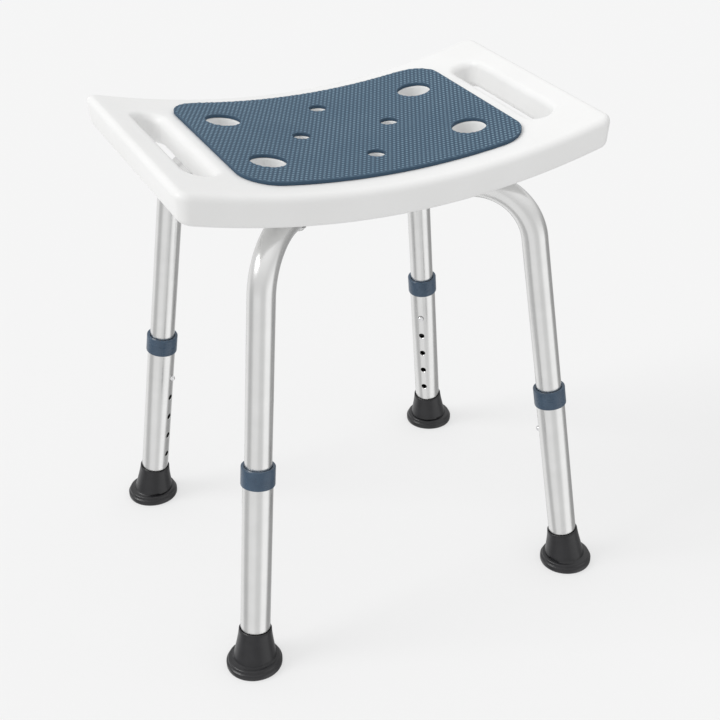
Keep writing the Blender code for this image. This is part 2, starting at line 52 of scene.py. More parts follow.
# Seat
SEAT_HALF_LENGTH = 0.209
SEAT_HALF_WIDTH = 0.1360
SEAT_MIDDLE_TOP = 0.4567
SEAT_END_RISE = 0.0293
SEAT_MIDDLE_THICKNESS = 0.0291
SEAT_END_THICKNESS = 0.0290
SEAT_CORNER = 0.0125
SEAT_TOP_FILLET = 0.0075
SEAT_BOTTOM_FILLET = 0.0045
SEAT_DRAFT = 0.0015
SEAT_CORNER_STEPS = 10
SEAT_EDGE_SPACING = 0.005
SEAT_GRID = 0.0055
UNDER_SEAT = 0.41  # cutters into the seat start here
GRIP_X = 0.1690
GRIP_HALF_LENGTH = 0.081
GRIP_HALF_WIDTH = 0.0120
GRIP_OUTER_RIM = 0.0055
GRIP_INNER_RIM = 0.010
GRIP_LOWER_RIM = 0.009
LARGE_DRAIN = (0.1005, 0.0564)
LARGE_DRAIN_RADIUS = 0.0158
SMALL_DRAIN = (0.0448, 0.0653)
SMALL_DRAIN_RADIUS = 0.0078
DRAIN_RIM = 0.0012
VENT_PLACE = (0.0, 0.100)
VENT_RADIUS = 0.0025
VENT_DEPTH = 0.006

# Pad
PAD_HALF_LENGTH = 0.1390
PAD_HALF_WIDTH = 0.1100
PAD_CORNER = 0.032
PAD_THICKNESS = 0.0034
PAD_EDGE = 0.0006
PAD_HOLE_EXTRA = 0.0005
PAD_RIM = 0.0007
PAD_CORNER_STEPS = 14
PAD_EDGE_SPACING = 0.0045
STUD_PITCH = 0.0042
STUD_ROW_PITCH = 0.00424
STUD_HEIGHT = 0.00045
STUD_TOP = 0.00100
STUD_FOOT = 0.00150

# Legs and frame tubes
LEG_ANGLE = math.radians(41.44)
LEG_TILT = math.radians(8.11)
FOOT_DISTANCE = 0.2370
INNER_RADIUS = 0.0127
OUTER_RADIUS = 0.0143
TUBE_WALL = 0.0012
FRAME_BEND = 0.056
FRAME_TOP = 0.420
FRAME_END = 0.145
LEG_START = 0.0123
LEG_END = 0.2113
FLAT_HALF_WIDTH = 0.0156
FLAT_HALF_HEIGHT = 0.00575
FLAT_END = 0.019
ROUND_START = 0.056
SPACER_RADIUS = 0.011
HOLE_PITCH = 0.0254
HOLE_COUNT = 5
BUTTON_PLACE = 0.1628
HOLE_TURN = math.radians(8.0)
LEG_HOLE_RADIUS = 0.00325
LEG_HOLE_CHAMFER = 0.0005
FRAME_HOLE_RADIUS = 0.0033
BUTTON_RADIUS = 0.00292
BUTTON_FLANGE = 0.0039
BUTTON_BASE = 0.0096
BUTTON_SHOULDER = 0.0104
BUTTON_DOME = 0.0152
BUTTON_TIP = 0.0178
COLLAR_RADIUS = 0.0160
COLLAR_START = 0.1944
COLLAR_END = 0.2133
COLLAR_LIP_RADIUS = 0.0130
TIP_RADIUS = 0.0269
TIP_STEP_RADIUS = 0.0254
TIP_CONE_RADIUS = 0.0208
TIP_RIM_RADIUS = 0.0158
TIP_BORE_FLOOR = 0.0102
TIP_RIM = 0.0404
TIP_GRIP_DEPTH = 0.0011

# Fasteners
SCREW_PLACE = 0.107
SCREW_RADIUS = 0.0029
SCREW_HEAD_RADIUS = 0.0050
SCREW_HEAD_HEIGHT = 0.0034
WASHER_RADIUS = 0.0070
WASHER_THICKNESS = 0.0012
INSERT_RADIUS = 0.0045
INSERT_LENGTH = 0.0105
RECESS_MARGIN = 0.0012
RECESS_CORNER = 0.005

TUBE_SIDES = 48
CUT_EDGE = 0.0002  # how far sawn and stamped edges are broken
CORNERS = {
    "front_left": (-1, -1),
    "front_right": (1, -1),
    "rear_left": (-1, 1),
    "rear_right": (1, 1),
}


# ---- mesh helpers


def smooth_edges(mesh, degrees):
    mesh.shade_smooth()
    mesh.set_sharp_from_angle(angle=math.radians(degrees))


def add_piece(name, builder, finish, degrees=35, place=None):
    """A closed mesh as a named object at the origin. With no finish it is a cutter."""
    if place is not None:
        bmesh.ops.transform(builder, matrix=place, verts=builder.verts)
    bmesh.ops.remove_doubles(builder, verts=builder.verts, dist=1e-7)
    bmesh.ops.recalc_face_normals(builder, faces=builder.faces)
    mesh = bpy.data.meshes.new(name)
    builder.to_mesh(mesh)
    builder.free()
    smooth_edges(mesh, degrees)
    obj = bpy.data.objects.new(name, mesh)
    bpy.context.scene.collection.objects.link(obj)
    if finish is not None:
        mesh.materials.append(finish)
    return obj


def cut(obj, *builders, degrees=35):
    """Takes each cutter's mesh out of obj for good."""
    for builder in builders:
        cutter = add_piece("cutter", builder, None)
        modifier = obj.modifiers.new("cut", "BOOLEAN")
        modifier.operation = "DIFFERENCE"
        modifier.solver = "EXACT"
        modifier.object = cutter
        graph = bpy.context.evaluated_depsgraph_get()
        result = bpy.data.meshes.new_from_object(obj.evaluated_get(graph))
        obj.modifiers.clear()
        old = obj.data
        obj.data = result
        bpy.data.meshes.remove(old)
        used = cutter.data
        bpy.data.objects.remove(cutter)
        bpy.data.meshes.remove(used)
    smooth_edges(obj.data, degrees)


def circle(centre, radius, sides, across=Vector((1, 0, 0)), beside=Vector((0, 1, 0))):
    points = []
    for k in range(sides):
        angle = 2 * math.pi * (k + 0.5) / sides
        points.append(centre + radius * (math.cos(angle) * across + math.sin(angle) * beside))
    return points


def skin(builder, rings, closed_loop=False):
    """Joins rings of equally many points. The ends get flat caps, or the last ring joins the first."""
    loops = [[builder.verts.new(point) for point in points] for points in rings]
    pairs = list(zip(loops, loops[1:]))
    if closed_loop:
        pairs.append((loops[-1], loops[0]))
    for low, high in pairs:
        bridge(builder, low, high)
    if not closed_loop:
        builder.faces.new(loops[0])
        builder.faces.new(loops[-1])


def turned(profile, sides=TUBE_SIDES, hollow=False, place=None, builder=None):
    """A turned piece from (radius, height) pairs up the Z axis of place."""
    builder = builder or bmesh.new()
    rings = [circle(Vector((0, 0, height)), radius, sides) for radius, height in profile]
    if place is not None:
        rings = [[place @ point for point in points] for points in rings]
    skin(builder, rings, closed_loop=hollow)
    return builder


def rounded(profile, radius, steps):
    """The closed profile with each of its corners turned into an arc of about this radius."""
    made = []
    for k in range(len(profile)):
        here = Vector(profile[k])
        before = Vector(profile[k - 1]) - here
        after = Vector(profile[(k + 1) % len(profile)]) - here
        size = min(radius, 0.45 * before.length, 0.45 * after.length)
        start = here + before.normalized() * size
        end = here + after.normalized() * size
        for step in range(steps + 1):
            part = step / steps
            made.append(tuple((1 - part) ** 2 * start + 2 * part * (1 - part) * here + part**2 * end))
    return made


def quarter(radius, steps):
    """(inset, depth) pairs round a quarter circle, from the flat face to the side."""
    pairs = []
    for k in range(steps + 1):
        angle = math.pi / 2 * k / steps
        pairs.append((radius * (1 - math.sin(angle)), radius * (1 - math.cos(angle))))
    return pairs


# ---- outlines in plan


def seat_top(x):
    return SEAT_MIDDLE_TOP + SEAT_END_RISE * (x / SEAT_HALF_LENGTH) ** 2


def seat_bottom(x):
    middle = SEAT_MIDDLE_TOP - SEAT_MIDDLE_THICKNESS
    end = SEAT_MIDDLE_TOP + SEAT_END_RISE - SEAT_END_THICKNESS
    return middle + (end - middle) * (x / SEAT_HALF_LENGTH) ** 2


def rounded_box(half_length, half_width, corner, arc_steps, spacing):
    """Anticlockwise points of a rounded rectangle."""
    points = []
    middle_x = half_length - corner
    middle_y = half_width - corner
    turns = [(1, 1), (-1, 1), (-1, -1), (1, -1)]
    along_x = max(2, round(2 * (SEAT_HALF_LENGTH - SEAT_CORNER) / spacing))
    along_y = max(2, round(2 * (SEAT_HALF_WIDTH - SEAT_CORNER) / spacing))
    for number, (sx, sy) in enumerate(turns):
        for k in range(arc_steps + 1):
            angle = math.pi / 2 * (number + k / arc_steps)
            points.append(
                (sx * middle_x + corner * math.cos(angle), sy * middle_y + corner * math.sin(angle))
            )
        here = points[-1]
        next_x, next_y = turns[(number + 1) % 4]
        angle = math.pi / 2 * (number + 1)
        there = (
            next_x * middle_x + corner * math.cos(angle),
            next_y * middle_y + corner * math.sin(angle),
        )
        steps = along_x if number % 2 == 0 else along_y
        for k in range(1, steps):
            part = k / steps
            points.append(
                (here[0] + (there[0] - here[0]) * part, here[1] + (there[1] - here[1]) * part)
            )
    return points


def slot_outline(x, grown):
    """A hand slot round this X, grown by so much: round ends, long way along Y."""
    arc_steps = 14
    run_steps = 26
    radius = GRIP_HALF_WIDTH + grown
    middle_y = GRIP_HALF_LENGTH - GRIP_HALF_WIDTH
    points = []
    for end in (1, -1):
        for k in range(arc_steps + 1):
            angle = math.pi * k / arc_steps
            y = end * (middle_y + radius * math.sin(angle))
            points.append((x + end * radius * math.cos(angle), y))
        for k in range(1, run_steps):
            points.append((x - end * radius, end * middle_y * (1 - 2 * k / run_steps)))
    return points


def rim_place(side, part):
    """Middle and growth of a hand slot's top rim, from the slot's wall (0) to the seat's top (1)."""
    middle = side * (GRIP_X - 0.5 * (GRIP_INNER_RIM - GRIP_OUTER_RIM) * part)
    return middle, 0.5 * (GRIP_INNER_RIM + GRIP_OUTER_RIM) * part


def rim_depth(x, side):
    """The rim is deep and soft towards the pad, tight towards the end of the seat."""
    outward = min(max((side * x - GRIP_X) / GRIP_HALF_WIDTH, -1.0), 1.0)
    part = 0.5 + 0.5 * outward
    return GRIP_INNER_RIM + (GRIP_OUTER_RIM - GRIP_INNER_RIM) * part


def disc_outline(x, y, radius, sides):
    return [
        (x + radius * math.cos(2 * math.pi * k / sides), y + radius * math.sin(2 * math.pi * k / sides))
        for k in range(sides)
    ]


def drains():
    """Middle, radius and number of sides of each drain hole."""
    x, y = LARGE_DRAIN
    places = [(sx * x, sy * y, LARGE_DRAIN_RADIUS, 56) for sx, sy in CORNERS.values()]
    for sign in (-1, 1):
        places.append((sign * SMALL_DRAIN[0], 0.0, SMALL_DRAIN_RADIUS, 36))
        places.append((0.0, sign * SMALL_DRAIN[1], SMALL_DRAIN_RADIUS, 36))
    return places


def inside_box(x, y, half_length, half_width, corner):
    dx = max(abs(x) - (half_length - corner), 0.0)
    dy = max(abs(y) - (half_width - corner), 0.0)
    if abs(x) > half_length or abs(y) > half_width:
        return False
    return dx * dx + dy * dy <= corner * corner


def off_holes(x, y, holes, margin):
    return all(math.hypot(x - a, y - b) > radius + margin for a, b, radius, _ in holes)


def inside_slot(x, y, middle_x, grown):
    dy = max(abs(y) - (GRIP_HALF_LENGTH - GRIP_HALF_WIDTH), 0.0)
    dx = x - middle_x
    return dx * dx + dy * dy < (GRIP_HALF_WIDTH + grown) ** 2


def sheet(builder, loops, inner_points, keep, height):
    """Triangles over the region that keep(x, y) allows. Returns each bounding loop's vertices."""
    coords = []
    edges = []
    for loop in loops:
        start = len(coords)
        coords += [Vector(point) for point in loop]
        edges += [(start + k, start + (k + 1) % len(loop)) for k in range(len(loop))]
    coords += [Vector(point) for point in inner_points]
    points, _, faces, origins, _, _ = delaunay_2d_cdt(coords, edges, [], 0, 1e-7, True)
    made = [builder.verts.new((point.x, point.y, height(point.x, point.y))) for point in points]
    place_of = {}
    for index, sources in enumerate(origins):
        for source in sources:
            place_of[source] = made[index]
    for face in faces:
        middle_x = sum(points[k].x for k in face) / 3
        middle_y = sum(points[k].y for k in face) / 3
        if keep(middle_x, middle_y):
            builder.faces.new([made[k] for k in face])
    result = []
    start = 0
    for loop in loops:
        result.append([place_of[start + k] for k in range(len(loop))])
        start += len(loop)
    return result


def strip(builder, low, points):
    """One more ring of faces from the loop low to new vertices at these points."""
    high = [builder.verts.new(point) for point in points]
    bridge(builder, low, high)
    return high


def bridge(builder, low, high):
    for k in range(len(low)):
        after = (k + 1) % len(low)
        builder.faces.new((low[k], low[after], high[after], high[k]))


# ---- materials


class Finish:
    """A Principled material whose procedural nodes are added step by step."""

    def __init__(self, name, colour, roughness, metallic=0.0, **uniform):
        self.made = bpy.data.materials.new(name)
        self.made.use_nodes = True
        self.tree = self.made.node_tree
        self.shader = self.tree.nodes["Principled BSDF"]
        self.shader.inputs["Base Color"].default_value = (*colour, 1.0)
        self.shader.inputs["Roughness"].default_value = roughness
        self.shader.inputs["Metallic"].default_value = metallic
        for socket, value in uniform.items():
            self.shader.inputs[socket.replace("_", " ")].default_value = value
        self.last_normal = None

    def node(self, kind, **settings):
        node = self.tree.nodes.new(kind)
        for key, value in settings.items():
            setattr(node, key, value)
        return node

    def link(self, source, target):
        self.tree.links.new(source, target)

    def coordinates(self, attribute=None, scale=(1, 1, 1)):
        """Object coordinates, or the vectors of a mesh attribute, stretched."""
        if attribute:
            source = self.node("ShaderNodeAttribute", attribute_name=attribute).outputs["Vector"]
        else:
            source = self.node("ShaderNodeTexCoord").outputs["Object"]
        mapping = self.node("ShaderNodeMapping")
        mapping.inputs["Scale"].default_value = scale
        self.link(source, mapping.inputs["Vector"])
        return mapping.outputs["Vector"]

    def noise(self, vector, scale, detail=3.0, roughness=0.5):
        node = self.node("ShaderNodeTexNoise")
        node.inputs["Scale"].default_value = scale
        node.inputs["Detail"].default_value = detail
        node.inputs["Roughness"].default_value = roughness
        self.link(vector, node.inputs["Vector"])
        return node.outputs["Fac"]

    def spread(self, value, low=0.0, high=1.0):
        """A noise value, which mostly lies near the middle, mapped to the span from low to high."""
        node = self.node("ShaderNodeMapRange")
        spans = {"From Min": 0.3, "From Max": 0.7, "To Min": low, "To Max": high}
        for socket, number in spans.items():
            node.inputs[socket].default_value = number
        self.link(value, node.inputs["Value"])
        return node.outputs["Result"]

    def vary_roughness(self, value, low, high):
        self.link(self.spread(value, low, high), self.shader.inputs["Roughness"])

    def mix(self, factor, first, second):
        node = self.node("ShaderNodeMix", data_type="RGBA")
        self.link(factor, node.inputs["Factor"])
        for socket, colour in ((node.inputs[6], first), (node.inputs[7], second)):
            if hasattr(colour, "is_linked"):
                self.link(colour, socket)
            else:
                socket.default_value = (*colour, 1.0)
        return node.outputs[2]

    def colour(self, output):
        self.link(output, self.shader.inputs["Base Color"])

    def bump(self, value, distance, strength=1.0):
        node = self.node("ShaderNodeBump")
        node.inputs["Strength"].default_value = strength
        node.inputs["Distance"].default_value = distance
        self.link(value, node.inputs["Height"])
        if self.last_normal is not None:
            self.link(self.last_normal, node.inputs["Normal"])
        self.last_normal = node.outputs["Normal"]
        self.link(self.last_normal, self.shader.inputs["Normal"])


def plastic_white():
    """Blow-moulded polyethylene: orange-peel grain, faint flow clouds, light scuffs in the gloss."""
    finish = Finish("white_hdpe", (0.77, 0.77, 0.76), 0.42, IOR=1.5)
    here = finish.coordinates()
    clouds = finish.noise(here, 14.0, 2.0)
    finish.colour(finish.mix(finish.spread(clouds), (0.755, 0.755, 0.748), (0.780, 0.780, 0.776)))
    scuffs = finish.noise(finish.coordinates(scale=(1.0, 2.6, 1.0)), 60.0, 4.0, 0.6)
    finish.vary_roughness(scuffs, 0.36, 0.50)
    finish.bump(finish.noise(here, 900.0, 2.0), 0.00006, 0.5)
    finish.bump(finish.noise(here, 38.0, 1.0), 0.0004, 0.22)
    return finish.made


def foam_slate():
    """Closed-cell EVA foam, with painted light on the tops of its studs and painted shade between them.
    """
    finish = Finish("slate_eva", (0.10, 0.18, 0.28), 0.72, Specular_IOR_Level=0.35)
    here = finish.coordinates()
    cells = finish.noise(here, 1500.0, 2.0)
    patches = finish.noise(here, 18.0, 3.0)
    # Painted light and shade: the stud height paints the stud tops paler and the gaps between the studs
    # darker.
    height = finish.node("ShaderNodeAttribute", attribute_name="stud").outputs["Fac"]
    lit_stud_tops = finish.mix(finish.spread(patches), (0.116, 0.193, 0.262), (0.150, 0.237, 0.310))
    shaded_stud_gaps = finish.mix(finish.spread(cells), (0.030, 0.062, 0.102), (0.043, 0.083, 0.130))
    finish.colour(finish.mix(height, shaded_stud_gaps, lit_stud_tops))
    finish.vary_roughness(cells, 0.62, 0.82)
    finish.bump(cells, 0.00005, 0.5)
    return finish.made


def aluminium():
    """Satin anodised tube: fine draw lines along its length and a slightly uneven sheen."""
    finish = Finish("satin_aluminium", (0.74, 0.74, 0.735), 0.26, 1.0)
    lines = finish.noise(finish.coordinates("lay", (1.0, 1.0, 0.006)), 2600.0, 3.0, 0.6)
    bands = finish.noise(finish.coordinates("lay", (1.0, 1.0, 0.02)), 420.0, 2.0)
    clouds = finish.noise(finish.coordinates("lay"), 45.0, 3.0)
    finish.colour(finish.mix(finish.spread(clouds), (0.76, 0.76, 0.755), (0.80, 0.80, 0.795)))
    finish.vary_roughness(bands, 0.23, 0.27)
    finish.bump(lines, 0.00002, 0.10)
    return finish.made


def nylon_slate():
    """Moulded nylon with a fine spark-eroded grain."""
    finish = Finish("slate_nylon", (0.037, 0.076, 0.125), 0.42)
    here = finish.coordinates()
    clouds = finish.noise(here, 120.0, 2.0)
    finish.colour(finish.mix(finish.spread(clouds), (0.032, 0.060, 0.098), (0.043, 0.077, 0.122)))
    finish.vary_roughness(finish.noise(here, 320.0, 3.0), 0.24, 0.36)
    finish.bump(finish.noise(here, 1400.0, 2.0), 0.00004, 0.5)
    return finish.made


def rubber_black():
    """Moulded rubber: satin, with a dusty bloom that changes from place to place."""
    finish = Finish("black_rubber", (0.016, 0.016, 0.018), 0.42)
    here = finish.coordinates()
    bloom = finish.noise(here, 90.0, 4.0, 0.6)
    finish.colour(finish.mix(finish.spread(bloom), (0.006, 0.006, 0.0075), (0.012, 0.012, 0.014)))
    finish.vary_roughness(bloom, 0.27, 0.40)
    finish.bump(finish.noise(here, 1700.0, 2.0), 0.00005, 0.4)
    finish.bump(finish.noise(here, 160.0, 2.0), 0.0002, 0.12)
    return finish.made


def metal(name, colour, low, high, scale=500.0):
    finish = Finish(name, colour, low, 1.0)
    here = finish.coordinates()
    marks = finish.noise(here, scale, 4.0, 0.6)
    paler = tuple(min(1.0, part * 1.06) for part in colour)
    finish.colour(finish.mix(finish.spread(marks), colour, paler))
    finish.vary_roughness(marks, low, high)
    finish.bump(finish.noise(here, scale * 3, 2.0), 0.00002, 0.3)
    return finish.made


def nylon_grey():
    finish = Finish("grey_nylon", (0.30, 0.30, 0.30), 0.5)
    here = finish.coordinates()
    grain = finish.noise(here, 900.0, 3.0)
    finish.colour(finish.mix(finish.spread(grain), (0.27, 0.27, 0.27), (0.33, 0.33, 0.33)))
    finish.vary_roughness(grain, 0.42, 0.58)
    finish.bump(grain, 0.00004, 0.4)
    return finish.made


FINISHES = {
    "seat": plastic_white(),
    "pad": foam_slate(),
    "aluminium": aluminium(),
    "collar": nylon_slate(),
    "rubber": rubber_black(),
    "steel": metal("stainless_steel", (0.60, 0.60, 0.60), 0.24, 0.36),
    "chrome": metal("chromed_steel", (0.78, 0.78, 0.79), 0.10, 0.20),
    "brass": metal("brass", (0.72, 0.53, 0.24), 0.28, 0.42),
    "spacer": nylon_grey(),
}


def settle(obj, body, slot, *nodes):
    """Each finished piece: its body and the CAD nodes it stands for. Its finish's slot is not used."""
    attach(obj, body)
    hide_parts(*nodes)


# ---- frames of reference


def leg_frame(corner):
    """The leg's own frame: Z up along the leg, X square to it towards the middle."""
    sx, sy = CORNERS[corner]
    outward = Vector((sx * math.cos(LEG_ANGLE), sy * math.sin(LEG_ANGLE), 0.0))
    up = Vector((0, 0, 1))
    along = math.cos(LEG_TILT) * up - math.sin(LEG_TILT) * outward
    inward = -math.cos(LEG_TILT) * outward - math.sin(LEG_TILT) * up
    beside = along.cross(inward)
    made = Matrix((inward, beside, along)).transposed().to_4x4()
    made.translation = FOOT_DISTANCE * outward
    return made


def hole_frame(corner, height):
    """In the leg's frame: Z points out through the hole at this height along the leg."""
    sx, sy = CORNERS[corner]
    turn = HOLE_TURN * sx * sy
    outward = Vector((math.cos(turn), math.sin(turn), 0.0))
    up = Vector((0, 0, 1))
    made = Matrix((up, outward.cross(up), outward)).transposed().to_4x4()
    made.translation = (0.0, 0.0, height)
    return made


def screw_places():
    places = {}
    for name, (sx, sy) in CORNERS.items():
        across = Vector((sx * math.cos(LEG_ANGLE), sy * math.sin(LEG_ANGLE), 0.0))
        places[name] = across * SCREW_PLACE
    places["centre"] = Vector((0.0, 0.0, 0.0))
    return places


def insert_top():
    """Height of the top of the screw inserts, which start just over the tubes."""
    return FRAME_TOP + INNER_RADIUS + 3 * GAP + INSERT_LENGTH


# ---- seat


def seat_outline(inset):
    return rounded_box(
        SEAT_HALF_LENGTH - inset,
        SEAT_HALF_WIDTH - inset,
        SEAT_CORNER - inset,
        SEAT_CORNER_STEPS,
        SEAT_EDGE_SPACING,
    )


def seat_face(builder, inset, slots, height):
    """The top or the bottom face, inside the fillets. slots holds each slot's middle and growth."""
    half_length = SEAT_HALF_LENGTH - inset
    half_width = SEAT_HALF_WIDTH - inset
    corner = SEAT_CORNER - inset
    holes = [(x, y, radius + DRAIN_RIM, sides) for x, y, radius, sides in drains()]
    loops = [seat_outline(inset)]
    loops += [slot_outline(middle, grown) for middle, grown in slots]
    loops += [disc_outline(*hole) for hole in holes]

    def keep(x, y, margin=0.0):
        if not inside_box(x, y, half_length - margin, half_width - margin, corner):
            return False
        if any(inside_slot(x, y, middle, grown + margin) for middle, grown in slots):
            return False
        return off_holes(x, y, holes, margin)

    grid = []
    rows = round(2 * SEAT_HALF_WIDTH / SEAT_GRID)
    columns = round(2 * SEAT_HALF_LENGTH / SEAT_GRID)
    for row in range(rows + 1):
        for column in range(columns + 1):
            x = -SEAT_HALF_LENGTH + 2 * SEAT_HALF_LENGTH * (column + 0.5 * (row % 2)) / columns
            y = -SEAT_HALF_WIDTH + 2 * SEAT_HALF_WIDTH * row / rows
            if keep(x, y, 0.4 * SEAT_GRID):
                grid.append((x, y))
    return sheet(builder, loops, grid, keep, lambda x, y: height(x))


def make_seat():
    builder = bmesh.new()
    slots = [rim_place(side, 1.0) for side in (-1, 1)]
    top = seat_face(builder, SEAT_TOP_FILLET, slots, seat_top)
    slots = [(side * GRIP_X, GRIP_LOWER_RIM) for side in (-1, 1)]
    bottom = seat_face(builder, SEAT_BOTTOM_FILLET + SEAT_DRAFT, slots, seat_bottom)

    # The outer edge
    upper = top[0]
    for inset, depth in quarter(SEAT_TOP_FILLET, 8)[1:]:
        points = [(x, y, seat_top(x) - depth) for x, y in seat_outline(inset)]
        upper = strip(builder, upper, points)
    lower = bottom[0]
    for inset, depth in quarter(SEAT_BOTTOM_FILLET, 6)[1:]:
        points = [(x, y, seat_bottom(x) + depth) for x, y in seat_outline(inset + SEAT_DRAFT)]
        lower = strip(builder, lower, points)
    bridge(builder, upper, lower)

    # The hand slots and the drains
    for number, side in enumerate((-1, 1), 1):
        upper = top[number]
        for part, depth in quarter(1.0, 9)[1:]:
            outline = slot_outline(*rim_place(side, part))
            points = [(x, y, seat_top(x) - depth * rim_depth(x, side)) for x, y in outline]
            upper = strip(builder, upper, points)
        lower = bottom[number]
        for out, depth in quarter(GRIP_LOWER_RIM, 7)[1:]:
            points = [(x, y, seat_bottom(x) + depth) for x, y in slot_outline(side * GRIP_X, out)]
            lower = strip(builder, lower, points)
        bridge(builder, upper, lower)
    for number, (x0, y0, radius, sides) in enumerate(drains(), 3):
        ends = []
        for loops, height, sign in ((top, seat_top, -1), (bottom, seat_bottom, 1)):
            loop = loops[number]
            for out, depth in quarter(DRAIN_RIM, 3)[1:]:
                outline = disc_outline(x0, y0, radius + out, sides)
                loop = strip(builder, loop, [(x, y, height(x) + sign * depth) for x, y in outline])
            ends.append(loop)
        bridge(builder, *ends)

    seat = add_piece("seat_moulding", builder, FINISHES["seat"], 40)
    pockets = bmesh.new()
    pocket = INSERT_RADIUS + HOLE_GAP
    for place in screw_places().values():
        profile = [(pocket, UNDER_SEAT), (pocket, insert_top() + GAP)]
        turned(profile, 32, place=Matrix.Translation(place), builder=pockets)
    vent = [(VENT_RADIUS, UNDER_SEAT), (VENT_RADIUS, seat_bottom(0.0) + VENT_DEPTH)]
    turned(vent, 24, place=Matrix.Translation((*VENT_PLACE, 0.0)), builder=pockets)
    cut(seat, groove(1), groove(-1), recess(), pockets, degrees=40)
    settle(seat, ROOT, "seat", "seat_shell")


def groove(sign):
    """A cutter along a frame tube's top run, a little wider than the tube."""
    along = Vector((math.cos(LEG_ANGLE), sign * math.sin(LEG_ANGLE), 0.0))
    beside = Vector((-along.y, along.x, 0.0))
    half = FOOT_DISTANCE - FRAME_TOP * math.tan(LEG_TILT)
    rings = []
    for end in (-1, 1):
        centre = along * half * end + Vector((0, 0, FRAME_TOP))
        rings.append(circle(centre, INNER_RADIUS + GAP, 64, beside, Vector((0, 0, 1))))
    builder = bmesh.new()
    skin(builder, rings)
    return builder


def recess():
    """A cutter round the wider flat of the upper tube, where it lies up inside the seat."""
    half_width = FLAT_HALF_WIDTH + RECESS_MARGIN
    half_length = ROUND_START
    turn = Matrix.Rotation(LEG_ANGLE, 4, "Z")
    corner = RECESS_CORNER
    rings = []
    for height in (UNDER_SEAT, FRAME_TOP + INNER_RADIUS + 2 * GAP):
        points = []
        for number, (sx, sy) in enumerate(((1, 1), (-1, 1), (-1, -1), (1, -1))):
            for k in range(7):
                angle = math.pi / 2 * (number + k / 6)
                x = sx * (half_length - corner) + corner * math.cos(angle)
                y = sy * (half_width - corner) + corner * math.sin(angle)
                points.append(turn @ Vector((x, y, height)))
        rings.append(points)
    builder = bmesh.new()
    skin(builder, rings)
    return builder


# ---- pad


def make_pad():
    """The foam pad: a thin curved sheet with its studs in staggered rows."""
    inset = PAD_EDGE
    half_length = PAD_HALF_LENGTH - inset
    half_width = PAD_HALF_WIDTH - inset
    corner = PAD_CORNER - inset
    point_margin = 0.00025
    holes = [(x, y, radius + PAD_HOLE_EXTRA, sides) for x, y, radius, sides in drains()]
    top_height = GAP + PAD_THICKNESS - STUD_HEIGHT

    def keep(x, y, margin=0.0):
        if not inside_box(x, y, half_length - margin, half_width - margin, corner - margin):
            return False
        return off_holes(x, y, holes, PAD_RIM + margin)

    def stud_rise(x, y):
        """1 on top of a stud, 0 between the studs."""
        nearest = 1.0
        for row in (math.floor(y / STUD_ROW_PITCH), math.ceil(y / STUD_ROW_PITCH)):
            shift = 0.5 * (row % 2)
            column = round(x / STUD_PITCH - shift)
            away = math.hypot(x - (column + shift) * STUD_PITCH, y - row * STUD_ROW_PITCH)
            nearest = min(nearest, away)
        return min(max((STUD_FOOT - nearest) / (STUD_FOOT - STUD_TOP), 0.0), 1.0)

    points = []
    rows = int(PAD_HALF_WIDTH / STUD_ROW_PITCH) + 1
    columns = int(PAD_HALF_LENGTH / STUD_PITCH) + 1
    for row in range(-rows, rows + 1):
        for column in range(-columns, columns + 1):
            x = (column + 0.5 * (row % 2)) * STUD_PITCH
            y = row * STUD_ROW_PITCH
            whole = [(x, y)]
            for radius, turn in ((STUD_FOOT, 0.0), (STUD_TOP, 0.5)):
                for k in range(8):
                    angle = 2 * math.pi * (k + turn) / 8
                    whole.append((x + radius * math.cos(angle), y + radius * math.sin(angle)))
            points += [point for point in whole if keep(*point, point_margin)]

    loops = [rounded_box(half_length, half_width, corner, PAD_CORNER_STEPS, PAD_EDGE_SPACING)]
    for x, y, radius, sides in holes:
        loops.append(disc_outline(x, y, radius + PAD_RIM, sides))

    def height(x, y):
        return seat_top(x) + top_height + STUD_HEIGHT * stud_rise(x, y)

    builder = bmesh.new()
    top = sheet(builder, loops, points, keep, height)

    # The pad's own edge, then its underside
    def edge(grown):
        return rounded_box(
            half_length + grown,
            half_width + grown,
            corner + grown,
            PAD_CORNER_STEPS,
            PAD_EDGE_SPACING,
        )

    upper = top[0]
    for out, depth in quarter(inset, 4)[1:]:
        points = edge(inset - out)
        upper = strip(builder, upper, [(x, y, seat_top(x) + top_height - depth) for x, y in points])
    under = [edge(inset)] + [disc_outline(x, y, radius, sides) for x, y, radius, sides in holes]

    def keep_under(x, y):
        if not inside_box(x, y, PAD_HALF_LENGTH, PAD_HALF_WIDTH, PAD_CORNER):
            return False
        return off_holes(x, y, holes, 0.0)

    grid = []
    edge_margin = 0.004
    hole_margin = 0.002
    for row in range(-13, 14):
        for column in range(-17, 18):
            x = column * 0.008
            y = row * 0.0085
            clear = inside_box(x, y, half_length - edge_margin, half_width - edge_margin, corner)
            if clear and off_holes(x, y, holes, hole_margin):
                grid.append((x, y))
    bottom = sheet(builder, under, grid, keep_under, lambda x, y: seat_top(x) + GAP)
    bridge(builder, upper, bottom[0])
    for number, (x0, y0, radius, sides) in enumerate(holes):
        loop = top[1 + number]
        for out, depth in quarter(PAD_RIM, 3)[1:]:
            ring = disc_outline(x0, y0, radius + out, sides)
            loop = strip(builder, loop, [(x, y, seat_top(x) + top_height - depth) for x, y in ring])
        bridge(builder, loop, bottom[1 + number])

    pad = add_piece("pad_foam", builder, FINISHES["pad"], 60)
    # The stud height, by which the pad's finish paints light on the stud tops and shade between them.
    stud = pad.data.attributes.new("stud", "FLOAT", "POINT")
    values = []
    for vertex in pad.data.vertices:
        rise = vertex.co.z - seat_top(vertex.co.x) - top_height
        values.append(min(max(rise / STUD_HEIGHT, 0.0), 1.0))
    stud.data.foreach_set("value", values)
    settle(pad, ROOT, "pad", "seat_pad")


# ---- tubes


